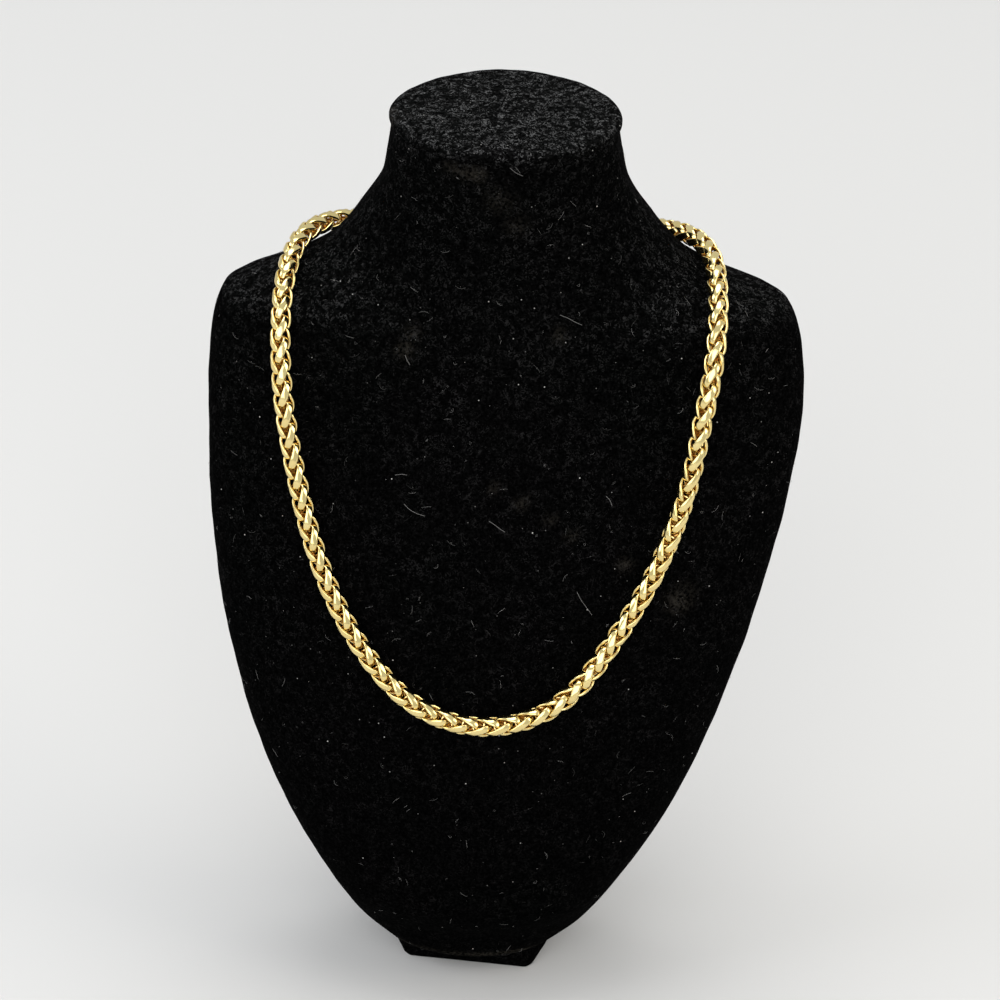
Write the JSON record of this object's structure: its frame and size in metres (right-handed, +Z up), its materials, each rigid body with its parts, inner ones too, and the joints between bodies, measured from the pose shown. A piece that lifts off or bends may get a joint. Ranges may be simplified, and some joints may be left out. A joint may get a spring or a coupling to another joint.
{
  "type": "wheat chain necklace on a velvet neck bust",
  "caption": "Gold wheat chain necklace of interlocked twisted oval links with end caps and a clasp, on a black velvet neck bust that leans back on a small foot.",
  "frame": {"origin": "centre of the foot's lower face, on the surface it stands on", "axes": "+Z up, -Y towards the front of the bust, +X towards the viewer's right when facing its front"},
  "size_m": [0.206, 0.1364, 0.307],
  "materials": {
    "wheat_gold": "polished yellow gold",
    "clasp_gold": "polished yellow gold",
    "body_velvet": "black velvet, short pile",
    "cap_velvet": "black velvet, short pile, dusty",
    "foot_velvet": "black velvet, short pile"
  },
  "bodies": {
    "root": {"chain_left": "wheat_gold", "chain_right": "wheat_gold", "end_cap_left": "clasp_gold", "end_cap_right": "clasp_gold", "clasp": "clasp_gold", "bust_body": "body_velvet", "neck_cap": "cap_velvet", "foot": "foot_velvet"}
  },
  "joints": []
}
